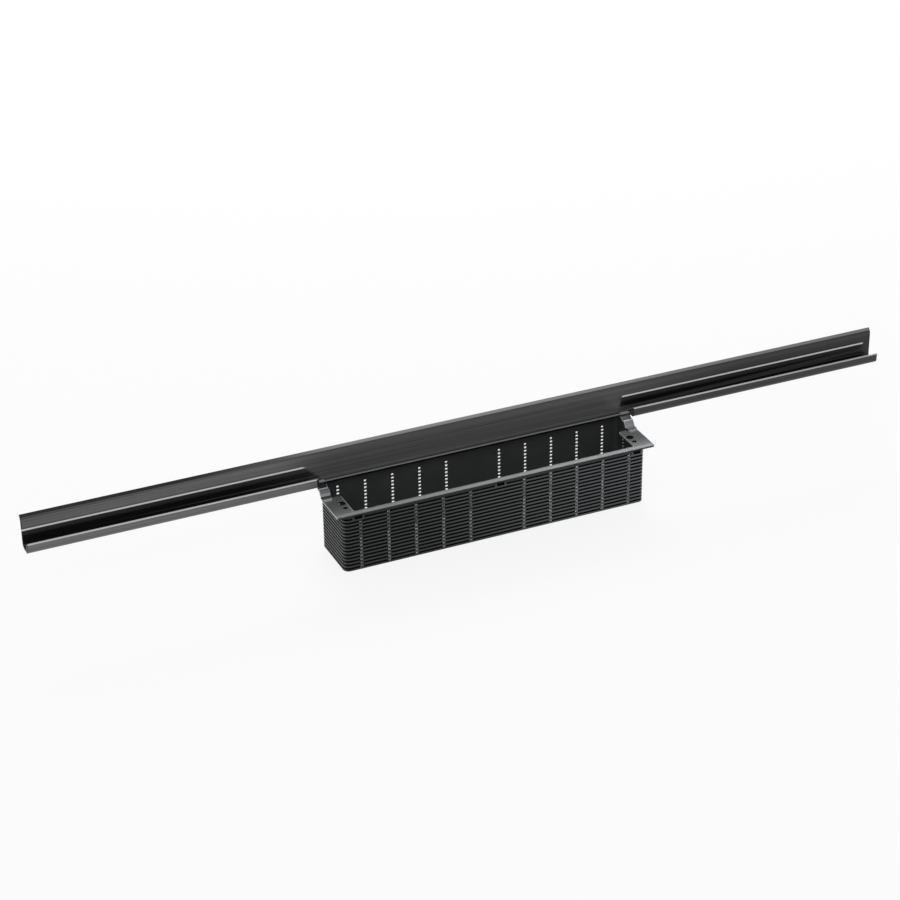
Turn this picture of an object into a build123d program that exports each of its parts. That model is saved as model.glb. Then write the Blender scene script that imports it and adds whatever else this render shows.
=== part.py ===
from build123d import *
from math import atan2, tan
import os

os.makedirs("parts", exist_ok=True)

# Channel drain for a shower that ends at a wall. Sizes are in millimetres.
# X runs along the channel, +Y points to the wall behind the drain and +Z points up.
# The origin is the middle of the sump box's foot.

# Sump box: one moulding, open at the top and at the foot
box_length = 319.2  # over the ribs
box_width = 59.0  # over the ribs
box_height = 61.8  # to the edge that carries the rim frame
box_wall = 1.0  # at the foot of the grooves
rib_depth = 0.8
rib_pitch = 3.8
groove_height = 2.2
top_band = 4.65  # plain band above the top groove
foot_band = 1.7  # least height of the plain band under the lowest groove
box_corner_radius = 6.0  # outside, at the ribs
tongue_height = 6.0  # of the back wall's tongue above the rail's floor
tongue_inset = 2.0  # from the round corners to the tongue's ends

# Drain holes: upright columns of small slots, one in each groove and one more at the back's top
slot_width = 2.8
column_pitch = 28.4
column_margin = 16.0  # least distance from the outer columns to the box's ends
end_columns = 2

# Snap windows in the front wall, in line with the top groove
window_length = 8.0
window_lift = 1.55  # above the top groove
window_end_inset = 12.2  # from the box's ends, less the shift, to the outer windows' middles
window_shift = 3.1  # of the middle window from the box's middle
window_count = 3
post_width = 2.0  # of the upright post on each side of a window

# Rim frame: a flat plate that lies on the box, open towards the rail
rim_sheet = 1.5
rim_end_overhang = 7.9
rim_overhang = 5.1  # in front of the box
tab_width = 19.5
tab_back = 5.2  # end of the tabs behind the box's middle
rim_corner_radius = 2.0
tab_hole_inset = 5.0  # from the tab's inner edge to the holes
large_hole_diameter = 7.0
large_hole_forward = 9.6  # in front of the box's middle
small_hole_diameter = 4.0
small_hole_forward = 19.0
snap_pocket_depth = 1.3  # into the box's wall from inside, behind each window
snap_leg_sheet = 1.1
snap_nib_height = 2.4
snap_nib_reach = 0.4  # in front of the leg
snap_clearance = 0.2

# Rail: one folded sheet, with its lip and most of its floor cut away over the box
rail_length = 900.0
rail_sheet = 2.0
rail_depth = 17.1  # from the lip's front face to the plate's back face
bend_radius = 2.5  # inside the two lower folds
floor_rise = 10.7  # from the box's front edge to the floor's underside
lip_height = 10.6  # over the floor's underside
plate_height = 31.9  # over the floor's underside, at the back of its leaning edge
top_fold_rise = 3.7  # of the leaning edge along the plate's top
top_fold_back = 2.7
top_bend_radius = 1.5  # behind the fold along the plate's top
rail_clearance = 1.0  # from the plate to the box's back wall
floor_ledge = 8.8  # width of floor that is left over the box, from the plate's back face
cutout_radius = 1.5
edge_round = 0.4

# Hangers: bent strips that join the underside of the rail's floor to the rim frame's tabs
strip_sheet = 1.5
strip_width = 9.9
strip_inset = 0.2  # from the cut-out's ends
strip_bend_radius = 0.8  # inside the bends
flange_end_gap = 0.2  # from the rail's lower fold to the end of the flange under its floor
joggle_drop = 2.4  # from the flange to the tread in front of the rail's floor
joggle_run = 2.4
tread_length = 3.6
slope_run = 3.7  # of the slope from the tread to the foot
foot_length = 8.35
foot_corner_length = 3.0
foot_corner_width = 1.6
shoulder_clearance = 0.4  # from the hangers and the rail to the box's shoulders under them

# Places that follow from the sizes above
wall_depth = box_wall + rib_depth
inner_length = box_length - 2 * wall_depth
inner_width = box_width - 2 * wall_depth
inner_radius = box_corner_radius - wall_depth
groove_length = box_length - 2 * rib_depth
groove_width = box_width - 2 * rib_depth
groove_radius = box_corner_radius - rib_depth
front_wall = -box_width / 2
top_groove = box_height - top_band - groove_height
groove_rows = int((top_groove - foot_band) / rib_pitch) + 1
groove_start = top_groove - (groove_rows - 1) * rib_pitch
columns_each_side = int((box_length / 2 - column_margin) / column_pitch)
window_pitch = box_length / 2 - window_end_inset
rim_length = box_length + 2 * rim_end_overhang
rim_front = front_wall - rim_overhang
inner_front = front_wall + wall_depth
rim_top = box_height + rim_sheet
tab_inner_edge = rim_length / 2 - tab_width
floor_under = box_height + floor_rise
plate_back = inner_width / 2 - rail_clearance
lip_front = plate_back - rail_depth
ledge_front = plate_back - floor_ledge
window_height = groove_height + window_lift
window_steps = [step - (window_count - 1) / 2 for step in range(window_count)]
window_middles = [window_shift + step * window_pitch for step in window_steps]

# The hangers' underside, from the rail's floor down to the tabs
flange_back = plate_back - bend_radius - rail_sheet - flange_end_gap
flange_under = floor_under - strip_sheet
joggle_front = ledge_front - joggle_run
tread_under = flange_under - joggle_drop
slope_top = joggle_front - tread_length
slope_foot = slope_top - slope_run
foot_front = slope_foot - foot_length
half_joggle = atan2(joggle_drop, joggle_run) / 2
half_slope = atan2(tread_under - rim_top, slope_run) / 2

# Rail: the sheet's outer face is drawn, and the sheet lies inside it
outer_bend = bend_radius + rail_sheet
with BuildPart() as rail:
    with BuildSketch(Plane.YZ) as rail_profile:
        with BuildLine():
            outer_face = FilletPolyline(
                (lip_front, floor_under + lip_height),
                (lip_front, floor_under),
                (plate_back, floor_under),
                (plate_back, floor_under + plate_height - top_fold_rise),
                (plate_back + top_fold_back, floor_under + plate_height),
                radius=[outer_bend, outer_bend, top_bend_radius],
            )
            offset(outer_face, amount=rail_sheet, side=Side.LEFT)
        make_face()
        for sheet_end in (outer_face @ 0, outer_face @ 1):
            fillet(rail_profile.vertices().sort_by_distance(sheet_end)[:2], edge_round)
    extrude(amount=rail_length / 2, both=True)
    # The lip and the floor stop at the rim frame's ends, apart from a ledge along the plate
    with BuildSketch(Plane.XY.offset(floor_under)) as cutout:
        with Locations((0, ledge_front)):
            Rectangle(rim_length, 2 * rail_depth, align=(Align.CENTER, Align.MAX))
        fillet(cutout.vertices().group_by(Axis.Y)[-1], cutout_radius)
    extrude(amount=lip_height + rail_sheet, mode=Mode.SUBTRACT)
rail.part.label = "rail"
export_step(rail.part, "parts/rail.step")

# Hangers: the strip is bent along the underside's outline, then its foot is cut to a blunt point
outside_bend = strip_bend_radius + strip_sheet
strip_outer_end = rim_length / 2 - strip_inset
strip_inner_end = strip_outer_end - strip_width
with BuildPart() as hanger_right:
    with BuildSketch(Plane.YZ.offset(strip_inner_end)):
        with BuildLine():
            underside = FilletPolyline(
                (foot_front, rim_top),
                (slope_foot, rim_top),
                (slope_top, tread_under),
                (joggle_front, tread_under),
                (ledge_front, flange_under),
                (flange_back, flange_under),
                radius=[outside_bend, strip_bend_radius, outside_bend, strip_bend_radius],
            )
            offset(underside, amount=strip_sheet, side=Side.LEFT)
        make_face()
    extrude(amount=strip_width)
    with BuildSketch(Plane.XY.offset(rim_top)):
        with BuildLine():
            Polyline(
                (strip_inner_end, plate_back),
                (strip_inner_end, foot_front + foot_corner_length),
                (strip_inner_end + foot_corner_width, foot_front),
                (strip_outer_end - foot_corner_width, foot_front),
                (strip_outer_end, foot_front + foot_corner_length),
                (strip_outer_end, plate_back),
                close=True,
            )
        make_face()
    extrude(amount=floor_under - rim_top, mode=Mode.INTERSECT)
hanger_right.part.label = "hanger_right"
export_step(hanger_right.part, "parts/hanger_right.step")

with BuildPart() as hanger_left:
    mirror(hanger_right.part, about=Plane.YZ)
hanger_left.part.label = "hanger_left"
export_step(hanger_left.part, "parts/hanger_left.step")

# Rim frame: a U-shaped plate with two holes in each tab and a snap leg behind each window
with BuildPart() as rim_frame:
    with BuildSketch(Plane.XY.offset(box_height)) as rim_outline:
        with Locations((0, rim_front)):
            Rectangle(rim_length, tab_back - rim_front, align=(Align.CENTER, Align.MIN))
        with Locations((0, inner_front)):
            inner_opening = (2 * tab_inner_edge, tab_back - inner_front)
            Rectangle(*inner_opening, align=(Align.CENTER, Align.MIN), mode=Mode.SUBTRACT)
        fillet(rim_outline.vertices(), rim_corner_radius)
        for hole_x in (-tab_inner_edge - tab_hole_inset, tab_inner_edge + tab_hole_inset):
            with Locations((hole_x, -large_hole_forward)):
                Circle(large_hole_diameter / 2, mode=Mode.SUBTRACT)
            with Locations((hole_x, -small_hole_forward)):
                Circle(small_hole_diameter / 2, mode=Mode.SUBTRACT)
    extrude(amount=rim_sheet)
    leg_front = inner_front - snap_leg_sheet
    leg_width = window_length - 2 * snap_clearance
    leg_foot = top_groove + snap_clearance
    nib_top = top_groove + window_height - snap_clearance
    for middle in window_middles:
        with BuildSketch(Plane.YZ.offset(middle - leg_width / 2)):
            with BuildLine():
                Polyline(
                    (inner_front, box_height),
                    (leg_front, box_height),
                    (leg_front, nib_top),
                    (leg_front - snap_nib_reach, nib_top),
                    (leg_front, nib_top - snap_nib_height),
                    (leg_front, leg_foot),
                    (inner_front, leg_foot),
                    close=True,
                )
            make_face()
        extrude(amount=leg_width)
rim_frame.part.label = "rim_frame"
export_step(rim_frame.part, "parts/rim_frame.step")

# Sump box: a shaft with raised shoulders at the back, grooved all round and pierced in the grooves
shaft_top = floor_under - shoulder_clearance
tongue_top = floor_under + tongue_height
tongue_length = box_length - 2 * box_corner_radius - 2 * tongue_inset
with BuildPart() as sump_box:
    with BuildSketch():
        RectangleRounded(box_length, box_width, box_corner_radius)
    extrude(amount=shaft_top)
    with BuildSketch(Plane.YZ):
        with BuildLine():
            joggle_shift = shoulder_clearance * tan(half_joggle)
            slope_shift = shoulder_clearance * tan(half_slope)
            Polyline(
                (2 * front_wall, box_height),
                (tab_back + shoulder_clearance, box_height),
                (tab_back + shoulder_clearance, rim_top - shoulder_clearance),
                (slope_foot + slope_shift, rim_top - shoulder_clearance),
                (slope_top + slope_shift, tread_under - shoulder_clearance),
                (joggle_front + joggle_shift, tread_under - shoulder_clearance),
                (ledge_front + joggle_shift, flange_under - shoulder_clearance),
                (flange_back + shoulder_clearance, flange_under - shoulder_clearance),
                (flange_back + shoulder_clearance, 2 * floor_under),
                (2 * front_wall, 2 * floor_under),
                close=True,
            )
        make_face()
    extrude(amount=box_length, both=True, mode=Mode.SUBTRACT)
    # A tongue on the back wall stands behind the rail's plate
    with BuildSketch(Plane.XY.offset(shaft_top)):
        with Locations((0, inner_width / 2)):
            Rectangle(tongue_length, box_wall, align=(Align.CENTER, Align.MIN))
    extrude(amount=tongue_top - shaft_top)
    with BuildSketch():
        RectangleRounded(inner_length, inner_width, inner_radius)
    extrude(amount=shaft_top, mode=Mode.SUBTRACT)
    # Grooves, of which the top one is bridged by a post on each side of a window
    for row in range(groove_rows):
        with BuildSketch(Plane.XY.offset(groove_start + row * rib_pitch)):
            RectangleRounded(box_length, box_width, box_corner_radius)
            RectangleRounded(groove_length, groove_width, groove_radius, mode=Mode.SUBTRACT)
            if row == groove_rows - 1:
                for middle in window_middles:
                    post_shift = (window_length + post_width) / 2
                    with Locations((middle - post_shift, front_wall), (middle + post_shift, front_wall)):
                        Rectangle(post_width, 4 * rib_depth, mode=Mode.SUBTRACT)
        extrude(amount=groove_height, mode=Mode.SUBTRACT)
    # Drain slots through the long walls, then through the end walls
    rows_middle = groove_start + (groove_height + (groove_rows - 1) * rib_pitch) / 2
    group_middle = (columns_each_side + 1) / 2 * column_pitch
    with BuildSketch(Plane.XZ):
        for group_x in (-group_middle, group_middle):
            with Locations((group_x, rows_middle)):
                with GridLocations(column_pitch, rib_pitch, columns_each_side, groove_rows):
                    Rectangle(slot_width, groove_height)
    extrude(amount=box_width, both=True, mode=Mode.SUBTRACT)
    # The back wall is higher than the front wall and has one more slot in each column
    with BuildSketch(Plane.XZ):
        for group_x in (-group_middle, group_middle):
            with Locations((group_x, top_groove + groove_height / 2 + rib_pitch)):
                with GridLocations(column_pitch, rib_pitch, columns_each_side, 1):
                    Rectangle(slot_width, groove_height)
    extrude(amount=-box_width, mode=Mode.SUBTRACT)
    with BuildSketch(Plane.YZ):
        with Locations((0, rows_middle)):
            with GridLocations(column_pitch, rib_pitch, end_columns, groove_rows):
                Rectangle(slot_width, groove_height)
    extrude(amount=box_length, both=True, mode=Mode.SUBTRACT)
    # Snap windows through the front wall, each under a pocket that is open at the wall's top
    with BuildSketch(Plane.XZ.offset(-front_wall)):
        for middle in window_middles:
            with Locations((middle, top_groove)):
                Rectangle(window_length, window_height, align=(Align.CENTER, Align.MIN))
    extrude(amount=-wall_depth, mode=Mode.SUBTRACT)
    with BuildSketch(Plane.XZ.offset(-inner_front)):
        for middle in window_middles:
            with Locations((middle, top_groove)):
                pocket_height = box_height - top_groove
                Rectangle(window_length, pocket_height, align=(Align.CENTER, Align.MIN))
    extrude(amount=snap_pocket_depth, mode=Mode.SUBTRACT)
sump_box.part.label = "sump_box"
export_step(sump_box.part, "parts/sump_box.step")
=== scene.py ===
# %% [markdown]
# # A wall channel drain, lit and finished
#
# The drain is already modelled and packed at its real size. This script loads it, gives each
# piece its finish and sets up a plain studio. Everything is in metres: X runs along the rail,
# +Y points to the wall behind the drain and Z is up, with the floor at zero. No piece is added
# here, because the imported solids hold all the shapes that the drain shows.

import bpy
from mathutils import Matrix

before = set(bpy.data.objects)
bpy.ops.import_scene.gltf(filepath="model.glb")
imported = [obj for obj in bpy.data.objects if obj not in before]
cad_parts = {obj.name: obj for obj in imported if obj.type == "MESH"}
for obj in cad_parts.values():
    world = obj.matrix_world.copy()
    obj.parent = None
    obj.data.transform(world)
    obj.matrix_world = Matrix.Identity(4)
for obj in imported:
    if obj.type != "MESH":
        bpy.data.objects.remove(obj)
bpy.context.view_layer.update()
print("pieces:", sorted(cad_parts))

# %% Modules that the later cells use
from math import cos, radians, sin

import bmesh
import bpy
from mathutils import Matrix, Vector

# %% [markdown]
# ## The camera
#
# The camera stands to the left of the drain and above it, and looks down to the right. Its
# long lens sees the whole rail without much perspective. A camera could be aimed at a target,
# but this one leans a little to one side as well, so three angles turn it. Its place is
# measured from the middle of the sump box's foot.

# %% Place the camera
camera_azimuth = radians(-23.8435)
camera_elevation = radians(28.4695)
camera_roll = radians(-0.8078)
camera_place = Vector((-0.86968, -1.88502, 1.20633))
lens_mm = 98.1525

backward = Vector((
    sin(camera_azimuth) * cos(camera_elevation),
    -cos(camera_azimuth) * cos(camera_elevation),
    sin(camera_elevation),
))
level_right = Vector((cos(camera_azimuth), sin(camera_azimuth), 0))
level_up = backward.cross(level_right)
right = cos(camera_roll) * level_right + sin(camera_roll) * level_up
up = backward.cross(right)
turn = Matrix((right, up, backward)).transposed().to_4x4()

camera_data = bpy.data.cameras.new("studio_camera")
camera_data.lens = lens_mm
camera_data.sensor_width = 36
camera_data.clip_end = 50
camera = bpy.data.objects.new("studio_camera", camera_data)
camera.matrix_world = Matrix.Translation(camera_place) @ turn
bpy.context.scene.collection.objects.link(camera)
bpy.context.scene.camera = camera
print("camera", [round(value, 3) for value in camera_place], "lens", lens_mm, "mm")

# %% [markdown]
# ## Shader maths as Python
#
# A finish is easier to read as a sum than as a web of nodes. `Value` wraps one socket, so that
# `grain * 0.3 + 0.4` adds the two Math nodes by itself, and `y < 0.0106` is a mask, which is 1
# where it is true and 0 elsewhere. `ramp` is a mask with a soft edge, and `painted` puts one
# value over another where a mask says so.

# %% A socket that can be added, multiplied and compared
class Value:
    def __init__(self, web, socket):
        self.web = web
        self.socket = socket

    def _math(self, operation, *terms):
        return self.web.node("ShaderNodeMath", {"operation": operation}, dict(enumerate(terms)))

    def __add__(self, other):
        return self._math("ADD", self, other)

    def __radd__(self, other):
        return self._math("ADD", other, self)

    def __sub__(self, other):
        return self._math("SUBTRACT", self, other)

    def __rsub__(self, other):
        return self._math("SUBTRACT", other, self)

    def __mul__(self, other):
        return self._math("MULTIPLY", self, other)

    def __rmul__(self, other):
        return self._math("MULTIPLY", other, self)

    def __gt__(self, other):
        return self._math("GREATER_THAN", self, other)

    def __lt__(self, other):
        return self._math("LESS_THAN", self, other)

    def __abs__(self):
        return self._math("ABSOLUTE", self)

    def atleast(self, other):
        return self._math("MAXIMUM", self, other)

    def root(self):
        return self._math("SQRT", self)

    def to_nearest(self, pitch):
        return self._math("PINGPONG", self, pitch / 2)

    def ramp(self, none, full):
        settings = {"interpolation_type": "SMOOTHSTEP", "clamp": True}
        inputs = {"Value": self, "From Min": none, "From Max": full}
        return self.web.node("ShaderNodeMapRange", settings, inputs)

    def past(self, edge, blur):
        return self.ramp(edge - blur, edge + blur)

    def before(self, edge, blur):
        return self.ramp(edge + blur, edge - blur)

    def near(self, middle, full, none):
        return abs(self - middle).ramp(none, full)

    def painted(self, mask, other):
        return self + (other - self) * mask


# %% [markdown]
# `Web` wraps a node tree. Its `node` method adds any node, first its settings and then its
# sockets, and the other methods name the few nodes that come back often. `Finish` is the web
# of one material: what is the same all over is set on the shader when the finish is made, and
# `wear` plugs in what changes over the surface.

# %% A node tree that adds its own nodes
class Web:
    def __init__(self, tree):
        self.tree = tree

    def feed(self, socket, value):
        if isinstance(value, Value):
            self.tree.links.new(value.socket, socket)
        else:
            socket.default_value = value

    def node(self, kind, settings=None, inputs=None, output=0):
        node = self.tree.nodes.new(kind)
        for name, setting in (settings or {}).items():
            setattr(node, name, setting)
        for name, value in (inputs or {}).items():
            self.feed(node.inputs[name], value)
        return Value(self, node.outputs[output])

    def place(self):
        return self.node("ShaderNodeTexCoord", output="Object")

    def parts(self, vector):
        split = self.node("ShaderNodeSeparateXYZ", inputs={0: vector})
        return [Value(self, axis) for axis in split.socket.node.outputs]

    def noise(self, vector, scale, detail=2.0, roughness=0.5):
        inputs = {"Vector": vector, "Scale": scale, "Detail": detail, "Roughness": roughness}
        return self.node("ShaderNodeTexNoise", inputs=inputs)

    def stretched(self, vector, scale):
        return self.node("ShaderNodeMapping", inputs={"Vector": vector, "Scale": scale})

    def bump(self, height, strength, distance):
        inputs = {"Strength": strength, "Distance": distance, "Height": height}
        return self.node("ShaderNodeBump", inputs=inputs)

    def grey(self, tone, warmth):
        # A Mix node has its factor at 0 and, for colours, its two ends at 6 and 7
        inputs = {0: tone, 6: (0, 0, 0, 1), 7: (1 + warmth, 1, 1 - warmth, 1)}
        return self.node("ShaderNodeMix", {"data_type": "RGBA"}, inputs, output=2)


# %% A material
class Finish(Web):
    def __init__(self, name, **same_all_over):
        self.material = bpy.data.materials.new(name)
        self.material.use_nodes = True
        super().__init__(self.material.node_tree)
        self.shader = self.tree.nodes["Principled BSDF"]
        self.wear(**same_all_over)

    def wear(self, **values):
        for name, value in values.items():
            self.feed(self.shader.inputs[name.replace("_", " ")], value)


# %% Give a piece its finish
def dress(node_name, finish):
    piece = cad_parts[node_name]
    for slot in piece.material_slots:
        slot.material = finish.material
    print(node_name, "wears", finish.material.name, "of", len(finish.tree.nodes), "nodes")


# %% [markdown]
# ## Black coated steel for the rail
#
# The rail is brushed steel under a black coat. The brush marks could come from a picture, but
# noise that is stretched far along X needs none and stays sharp close up. Fine and broad marks
# are added, and `grain` says how light the coat is between them.

# %% Brush marks
def brush_marks(finish, place):
    fine = finish.noise(finish.stretched(place, (2.0, 700.0, 700.0)), 1.0, 3.0, 0.6)
    broad = finish.noise(finish.stretched(place, (4.0, 160.0, 160.0)), 1.0, 2.0)
    return fine, (fine * 0.65 + broad * 0.35).ramp(0.3, 0.7)


# %% [markdown]
# The plate isn't equally black all along: painted light makes its left wing greyer, and painted
# shade makes its right wing blacker, most of all low down. Painted light also makes the lip in
# front of it paler on the left. Each is a base tone with ramps added to it, and the brush marks
# then scale the whole.

# %% Tone of the plate and the lip
lip_middle = 0.0106  # Y, halfway through the lip's sheet
plate_grey, left_wing_painted_light, right_wing_painted_shade = 0.076, 0.046, 0.028
lip_grey, left_lip_painted_light = 0.035, 0.11


def rail_tone(x, y, z, grain):
    # Painted light on the left wing, painted shade on the right wing, darker low down
    left_wing = x.ramp(-0.145, -0.215) - x.ramp(-0.35, -0.45) * 0.35
    right_wing = x.ramp(0.10, 0.30)
    low_down = z.ramp(0.1005, 0.0965)
    loss = right_wing_painted_shade + low_down * right_wing_painted_shade
    plate = plate_grey + left_wing * left_wing_painted_light - right_wing * loss
    # Painted light makes the lip paler towards the left
    lip = lip_grey + x.ramp(0.0, -0.1) * left_lip_painted_light
    tone = plate * (grain * 0.6 + 0.7)
    return tone.painted(y < lip_middle, lip * (grain * 0.5 + 0.75))


# %% [markdown]
# The plate's top edge leans back and carries a painted highlight, with painted shade in the fold
# under it. The lip's top edge carries a painted highlight, the palest line of the rail, and the
# sheet's cut ends are painted black as shade, as is the last bit of the left lip next to the
# box. They are painted by their height and their place along the rail, which holds for a
# straight folded sheet.

# %% Painted highlights and shade on the rail's edges
fold_height, leaning_height, lip_top_height = 0.1012, 0.1030, 0.0824
lip_back = 0.0125  # Y, behind the lip's sheet
rail_end = 0.4492  # X, just inside the rail's cut ends
lip_end, dark_lip_start = -0.1673, -0.1695  # X, of the left lip next to the box
leaning_highlight_grey, lip_top_highlight_grey, lip_end_painted_shade, cut_end_painted_shade = 0.253, 0.60, 0.01, 0.0
fold_painted_shade = 0.5  # of the plate's tone


def with_edge_highlights_and_shade(tone, x, y, z, grain):
    # Painted highlight on the leaning edge, weaker towards the left; painted shade in the fold
    # under it
    leaning_highlight = leaning_highlight_grey - x.ramp(0.10, 0.30) * 0.06
    leaning_highlight = leaning_highlight - x.ramp(-0.14, -0.21) * 0.17 - x.ramp(-0.19, -0.30) * 0.08
    tone = tone.painted(z.past(fold_height, 0.0005), tone * fold_painted_shade)
    tone = tone.painted(z.past(leaning_height, 0.0002), leaning_highlight * (grain * 0.3 + 0.85))
    # Painted highlight on the lip's top edge; painted shade on the cut ends and the left lip's
    # last bit
    lip_top = (z > lip_top_height) * (y < lip_back)
    tone = tone.painted(lip_top, lip_top_highlight_grey - x.ramp(0.25, 0.40) * 0.12)
    tone = tone.painted(abs(x).past(rail_end, 0.0002), cut_end_painted_shade)
    left_lip_end = (x < lip_end) * (x > dark_lip_start) * (y < lip_middle)
    return tone.painted(left_lip_end, lip_end_painted_shade)


# %% [markdown]
# Beside the box the glossy plate reflects the lip in front of it: a light line, the lip's top
# edge, over the dark inside of the trough. A dark coat gives no mirror image as bright as that,
# so this reflection, the line and the dark band under it, is painted on the plate at fixed
# heights. On the right the painted band has a paler stripe that slants a little, and on both
# sides there is a faint line near the trough's floor, which on the left grows towards the box;
# both are painted reflections too.

# %% Painted reflection of the lip on the plate
line_height, band_top = 0.0905, 0.0900
plate_front, fold_front = 0.0258, 0.0215  # Y, behind the plate's face and before its lower fold
left_start, right_start, right_end = -0.1766, 0.1618, 0.4418  # X, where the line starts and ends
left_slant, right_slant = 1.1, 0.3  # of the band's ends next to the box
stripe_start, stripe_height, stripe_slant = 0.185, 0.0775, 0.022
faint_line_height = 0.0789
reflected_line_grey, reflected_band_grey, reflected_stripe_grey, reflected_faint_line_grey = 0.75, 0.006, 0.050, 0.06


def with_painted_lip_reflection(tone, x, y, z):
    below_line = line_height - z
    on_left = (x - below_line * left_slant).before(left_start, 0.0021)
    on_right = (x + below_line * right_slant).past(right_start, 0.0012)
    on_right = on_right * x.before(right_end, 0.0012)
    face = (on_left + on_right) * (y < plate_front) * (y > fold_front)

    near_box = x.ramp(-0.24, -0.18) * x.ramp(0.0, -0.1)
    band = reflected_band_grey + z.ramp(0.0840, 0.0865) * 0.022 + near_box * 0.012
    stripe = (z - (x - stripe_start) * stripe_slant).near(stripe_height, 0.0008, 0.0033)
    band = band.painted(stripe * x.ramp(0.0, 0.1), reflected_stripe_grey)
    faint_line = z.near(faint_line_height, 0.0003, 0.0009) * x.ramp(-0.42, -0.17)

    tone = tone.painted(face * z.before(band_top, 0.0003), band)
    tone = tone.painted(face * z.near(line_height, 0.0005, 0.0011), reflected_line_grey)
    return tone.painted(face * faint_line, reflected_faint_line_grey)


# %% [markdown]
# Over the box only a narrow ledge of the rail's floor is left along the plate. The fold above it
# has painted shade, its front a painted highlight, strongest next to the hangers, and the cut
# face below is painted black as shade.

# %% Ledge over the box
cutout_end = 0.1673  # X, of the opening in the rail's floor
ledge_height, bend_height = 0.0744, 0.0764  # just under the floor's face, and up its fold
ledge_front, wide_ledge_front, cut_face = 0.0206, 0.0226, 0.01795  # Y
hanger_side = 0.1580  # X, of the hangers' inner edges
bend_painted_shade = 0.6  # of the plate's tone
ledge_front_highlight_grey, ledge_highlight_by_hanger_grey, cut_face_painted_shade = 0.24, 0.33, 0.002


def with_ledge_light_and_shade(tone, x, y, z):
    over_box = abs(x) < cutout_end
    ledge = over_box * (z > ledge_height)
    beside_hanger = ledge * abs(x).past(hanger_side, 0.0006)
    # Painted shade in the fold, painted highlight on the ledge's front, painted shade on the cut
    # face
    tone = tone.painted(ledge * z.before(bend_height, 0.0004), tone * bend_painted_shade)
    tone = tone.painted(ledge * y.before(ledge_front, 0.0003), ledge_front_highlight_grey)
    tone = tone.painted(beside_hanger * y.before(wide_ledge_front, 0.0003), ledge_highlight_by_hanger_grey)
    return tone.painted(over_box * (y < cut_face), cut_face_painted_shade)


# %% [markdown]
# The layers go on in this order, and the brush marks give the bump and the roughness too. The
# coat isn't metallic itself: its gloss is that of paint, turned down by the specular level.

# %% The rail's finish
def coated_black(name):
    finish = Finish(name, Specular_IOR_Level=0.3)
    place = finish.place()
    x, y, z = finish.parts(place)
    fine, grain = brush_marks(finish, place)
    tone = rail_tone(x, y, z, grain)
    tone = with_edge_highlights_and_shade(tone, x, y, z, grain)
    tone = with_painted_lip_reflection(tone, x, y, z)
    tone = with_ledge_light_and_shade(tone, x, y, z)
    finish.wear(
        Base_Color=finish.grey(tone, 0.0),
        Roughness=grain * 0.1 + 0.18,
        Normal=finish.bump(fine, 0.05, 0.0003),
    )
    return finish


dress("rail", coated_black("black_coated_steel"))

# %% [markdown]
# ## Satin grey metal for the hangers and the rim frame
#
# Both are plain sheet with a satin grey finish, greyer and duller than the rail. One function
# gives the short brush marks and a slight cloudiness. It asks a second function for the tone and
# for how metallic a place is, since the strip and the plate carry painted highlights and painted
# shade in different places. Short marks come from noise that is stretched less than the rail's.

# %% Satin grey metal
def satin_grey(name, paint):
    finish = Finish(name, Specular_IOR_Level=0.4)
    place = finish.place()
    fine = finish.noise(finish.stretched(place, (60.0, 900.0, 900.0)), 1.0, 3.0)
    cloud = finish.noise(place, 60.0, 3.0)
    tone, metallic = paint(*finish.parts(place))
    finish.wear(
        Base_Color=finish.grey(tone * (fine * 0.3 + cloud * 0.3 + 0.7), -0.02),
        Metallic=metallic,
        Roughness=fine * 0.15 + 0.4,
        Normal=finish.bump(fine, 0.05, 0.0003),
    )
    return finish


# %% [markdown]
# A hanger is a strip with four bends. Its cut sides carry a painted highlight, a painted
# highlight along its tread is the brightest, and the part that goes up under the rail has
# painted shade. The slope has painted bands of light and shade, the tip of the foot has a
# painted highlight, and the foot's own sides have painted shadow. Its own UV map could carry
# these bands, but the strip runs along Y, so Y alone places them. X tells the sides apart, and
# `rightness` gives the right hanger more painted light than the left one.

# %% Hangers
strip_inner, strip_outer = 0.15750, 0.16720  # X, just inside the strip's two edges
tread_line, slope_line, foot_bend = 0.0134, 0.0081, 0.0058  # Y, of the bright bands
foot_tip, foot_back, foot_top = 0.0016, 0.0075, 0.0649  # Y, Y and Z
tread_highlight_white, slope_highlight_grey, tip_highlight_grey, side_highlight_grey, foot_side_painted_shadow = 0.95, 0.24, 0.55, 0.80, 0.01
half_metallic = 0.5


def hanger_paint(x, y, z):
    rightness = x.ramp(-0.1, 0.1)
    # Painted light: the right hanger is lighter; painted shade under the rail, painted
    # highlights on tread, slope, tip and sides
    tone = 0.12 + rightness * 0.08
    tone = tone.painted(y.ramp(0.0143, 0.0148), rightness * 0.10 + 0.002)
    tone = tone.painted(y.near(tread_line - rightness * 0.0010, 0.0007, 0.0013), tread_highlight_white)
    tone = tone.painted(y.near(slope_line, 0.0003, 0.0011), slope_highlight_grey)
    tone = tone.painted(y.near(foot_bend, 0.0008, 0.0018), rightness * 0.34 + 0.04)
    tone = tone.painted(y.before(foot_tip, 0.0004), tip_highlight_grey)
    side = (abs(x) < strip_inner) + (abs(x) > strip_outer)
    tone = tone.painted(side, side_highlight_grey)
    foot_side = side * (z < foot_top) * (y < foot_back)
    return tone.painted(foot_side, foot_side_painted_shadow), half_metallic


hanger_finish = satin_grey("satin_strip", hanger_paint)
dress("hanger_left", hanger_finish)
dress("hanger_right", hanger_finish)

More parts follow.
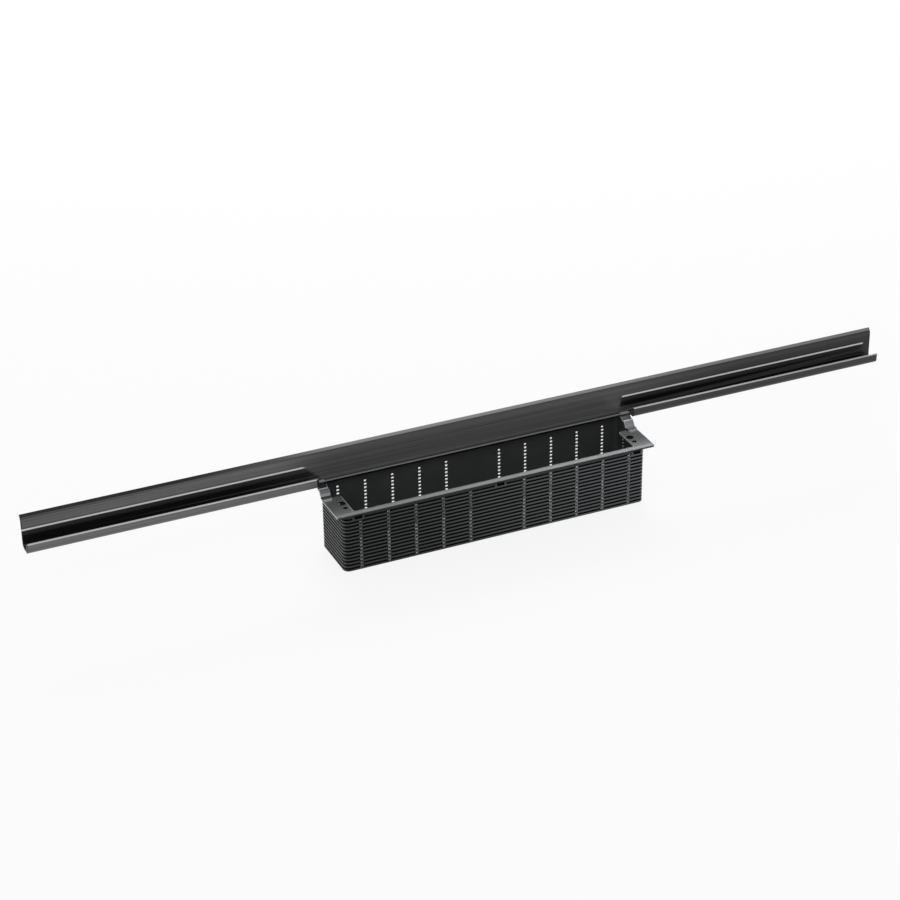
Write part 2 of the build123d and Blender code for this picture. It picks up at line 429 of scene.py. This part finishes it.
# %% [markdown]
# The rim frame's front strip carries a painted highlight that makes it look slightly rounded: it
# is lightest along its middle and falls off to both edges, which a square of the distance from
# the middle gives. Its front face has painted shade, and the edges round the opening and at the
# ends have painted highlights. Painted light also makes the frame lighter towards the right. The
# walls of the holes and the snap legs below the plate are painted black as shade, and the legs
# are fully metallic, because a black metal has no gloss of its own and so they stay dark in
# their windows.

# %% Rim frame
strip_back, strip_middle, strip_half = -0.0275, -0.0311, 0.0035  # Y, of the front strip
rim_front_face = -0.03440
tab_inner, rim_end = 0.1487, 0.1669  # X, just inside the tabs' edges
legs_top = 0.0617
hole_aside = 0.153  # X, of the holes in the tabs
tab_holes = {"large": (-0.0096, 0.0035), "small": (-0.0190, 0.0020)}  # Y and radius
tab_grey, front_face_painted_shade, edge_highlight_grey, painted_shade_black = 0.125, 0.02, 0.40, 0.002


def rim_paint(x, y, z):
    rightness = x.ramp(-0.17, 0.17)
    # Painted light: lighter towards the right
    tone = tab_grey + rightness * 0.065
    strip = y < strip_back
    across = (y - strip_middle) * (1 / strip_half)
    # Painted highlight along the strip's middle, as if it were rounded
    rounded_highlight = 1.05 - across * across * 0.55
    tone = tone.painted(strip, (tone + rightness * 0.05 + 0.055) * rounded_highlight)
    tone = tone.painted(y < rim_front_face, front_face_painted_shade)
    edge = (abs(x) < tab_inner) * (1.0 - strip) + (abs(x) > rim_end)
    tone = tone.painted(edge, edge_highlight_grey)
    # Painted shade: the snap legs and the walls of the holes are black
    legs = z < legs_top
    tone = tone.painted(legs, painted_shade_black)
    for hole_y, radius in tab_holes.values():
        aside, along = abs(x) - hole_aside, y - hole_y
        from_middle = (aside * aside + along * along).root()
        tone = tone.painted(from_middle.ramp(radius + 0.0003, radius + 0.0001), painted_shade_black)
    return tone, legs * half_metallic + half_metallic


dress("rim_frame", satin_grey("satin_plate", rim_paint))

# %% [markdown]
# ## Moulded black plastic for the box
#
# The box is injection moulded, with grooves all round it and rows of thin drain slots in them.
# Its grooves are painted much darker than its ribs, as painted shade in the recesses. They could
# be told apart by height, but how far a point lies inside the box's rounded outline also works
# on the corners, and finds the inner wall and the slots as well. That is `depth`.

# %% Depth inside the box's outline
box_length, box_width, box_corner = 0.3192, 0.0590, 0.006


def depth_in_box(x, y):
    beyond_x = (abs(x) - (box_length / 2 - box_corner)).atleast(0.0)
    beyond_y = (abs(y) - (box_width / 2 - box_corner)).atleast(0.0)
    return box_corner - (beyond_x * beyond_x + beyond_y * beyond_y).root()


# %% [markdown]
# The thin walls of the drain slots are painted pale in the front wall, as painted light where
# the light falls on them, and paler towards the right.
# The slots stand in columns at one pitch from the box's middle, so the distance to the nearest
# multiple of that pitch says where they are.

# %% Drain slots of the front wall
column_pitch = 0.0284
slot_half = 0.00145  # a little over half a slot's width
wall_outer, wall_inner = 0.00085, 0.00175  # depth, inside the wall's two faces


def front_slots(x, y, depth):
    in_column = abs(x).to_nearest(column_pitch) < slot_half
    return in_column * (depth > wall_outer) * (depth < wall_inner) * (y < 0.0)


# %% [markdown]
# Painted light makes the ribs lighter towards the right and on the left end face, and painted
# shadow makes them darker in the plain band under the rim. Fine noise roughens the plastic, and
# broad noise clouds its tone. The deep grooves are mostly metallic, for the same reason as the
# rim's legs: with a black colour it takes their gloss away.

# %% Black plastic
left_end_face = -0.1578  # X, just inside it
top_band_foot, top_band_start = 0.0572, 0.0576
groove_painted_shade, rib_grey, inside_grey, slot_painted_light = 0.003, 0.045, 0.044, 0.75


def moulded_black(name):
    finish = Finish(name, Specular_IOR_Level=0.15)
    place = finish.place()
    x, y, z = finish.parts(place)
    spark = finish.noise(place, 2600.0, 2.0)
    cloud = finish.noise(place, 45.0, 3.0)

    depth = depth_in_box(x, y)
    rib = depth.ramp(0.0006, 0.0001)
    inside = depth.ramp(0.0016, 0.0018)
    left_end = x.before(left_end_face, 0.0010)
    # Painted light towards the right and on the left end face; painted shadow in the band under
    # the rim
    rib_tone = rib_grey + x.ramp(-0.16, 0.16) * 0.065 + left_end * 0.045
    rib_tone = rib_tone * (1.0 - z.ramp(top_band_foot, top_band_start) * 0.6)
    # Painted shade: the grooves are nearly black, and the ribs keep their lighter tone
    tone = groove_painted_shade + rib * rib_tone + left_end * 0.006 + inside * inside_grey
    tone = (cloud * 0.4 + 0.8) * tone
    # Painted light on the walls of the front wall's slots
    tone = tone.painted(front_slots(x, y, depth), slot_painted_light + x.ramp(0.0, 0.1) * 0.2)
    finish.wear(
        Base_Color=finish.grey(tone, -0.03),
        Metallic=(1.0 - rib) * (1.0 - inside) * (1.0 - left_end) * 0.8,
        Roughness=spark * 0.12 + cloud * 0.1 + 0.3,
        Normal=finish.bump(spark, 0.08, 0.0002),
    )
    return finish


dress("sump_box", moulded_black("moulded_black"))

# %% [markdown]
# ## The studio
#
# A white floor and a white world surround the drain. More light on the floor would also bleach
# the drain, so the floor glows instead, but only for the camera, for reflections and through
# glass, and it keeps enough of its own shading to hold the drain's shadow. Under the open box
# it doesn't glow, because the floor that is seen through the lower slots lies in shade.

# %% Floor
floor_half = 6.0
floor_mesh = bpy.data.meshes.new("studio_floor")
square = bmesh.new()
bmesh.ops.create_grid(square, x_segments=1, y_segments=1, size=floor_half)
square.to_mesh(floor_mesh)
square.free()
floor = bpy.data.objects.new("studio_floor", floor_mesh)
bpy.context.scene.collection.objects.link(floor)
print("floor", [round(side, 2) for side in floor.dimensions], "m")

# %% What the camera and reflections see directly
def seen_directly(web):
    camera_ray, glossy_ray, through_ray = (
        web.node("ShaderNodeLightPath", output=f"Is {kind} Ray")
        for kind in ("Camera", "Glossy", "Transmission")
    )
    return camera_ray.atleast(glossy_ray).atleast(through_ray)


# %% White floor that keeps the shadow
shaded_half_length, shaded_half_width = 0.158, 0.028  # of the floor under the box
floor_white = 0.85
glow_share = 0.85

white_floor = Finish("studio_floor", Base_Color=(floor_white,) * 3 + (1,), Roughness=1.0)
x, y = white_floor.parts(white_floor.place())[:2]
past_box = (abs(x) > shaded_half_length).atleast(abs(y) > shaded_half_width)
share = seen_directly(white_floor) * past_box * glow_share
surface = Value(white_floor, white_floor.shader.outputs[0])
glow = white_floor.node("ShaderNodeEmission", inputs={"Strength": 1.0})
mixed = white_floor.node("ShaderNodeMixShader", inputs={0: share, 1: surface, 2: glow})
white_floor.feed(white_floor.tree.nodes["Material Output"].inputs["Surface"], mixed)
floor_mesh.materials.append(white_floor.material)

# %% [markdown]
# The world is white where it is seen or mirrored and dimmer where it lights the drain, so that
# the black coat keeps its depth. A painted backdrop would do the same from one side only.

# %% World
lighting_strength, seen_strength = 0.55, 1.0

world = bpy.data.worlds.new("studio_world")
bpy.context.scene.world = world
world.use_nodes = True
sky = Web(world.node_tree)
background = world.node_tree.nodes["Background"]
background.inputs["Color"].default_value = (1, 1, 1, 1)
strength = seen_directly(sky) * (seen_strength - lighting_strength) + lighting_strength
sky.feed(background.inputs["Strength"], strength)
print("world", lighting_strength, "on the drain,", seen_strength, "where it is seen")

# %% [markdown]
# Two soft boxes light the drain. The one behind it, on the right, gives the plate and the
# ledge their sheen, and the weaker one in front, on the left, lights the ribs and the tabs.
# Large areas are chosen over points, because metal shows the shape of its lamps.

# %% Lamps
drain_middle = Vector((0.0, 0.0, 0.06))


def soft_lamp(name, place, size, watts):
    data = bpy.data.lights.new(name, "AREA")
    data.shape = "RECTANGLE"
    data.size, data.size_y = size
    data.energy = watts
    lamp = bpy.data.objects.new(name, data)
    lamp.location = place
    lamp.rotation_euler = (drain_middle - Vector(place)).to_track_quat("-Z", "Y").to_euler()
    bpy.context.scene.collection.objects.link(lamp)
    print(name, watts, "W")


soft_lamp("back_softbox", place=(1.0, 2.6, 1.6), size=(2.4, 1.2), watts=60.0)
soft_lamp("front_softbox", place=(-1.2, -2.2, 2.4), size=(1.6, 1.6), watts=25.0)

# %% [markdown]
# ## Close the scene
#
# Standard is the plain view, in which a colour shows about as it is written.

# %% Set the plain view
bpy.context.scene.view_settings.view_transform = "Standard"
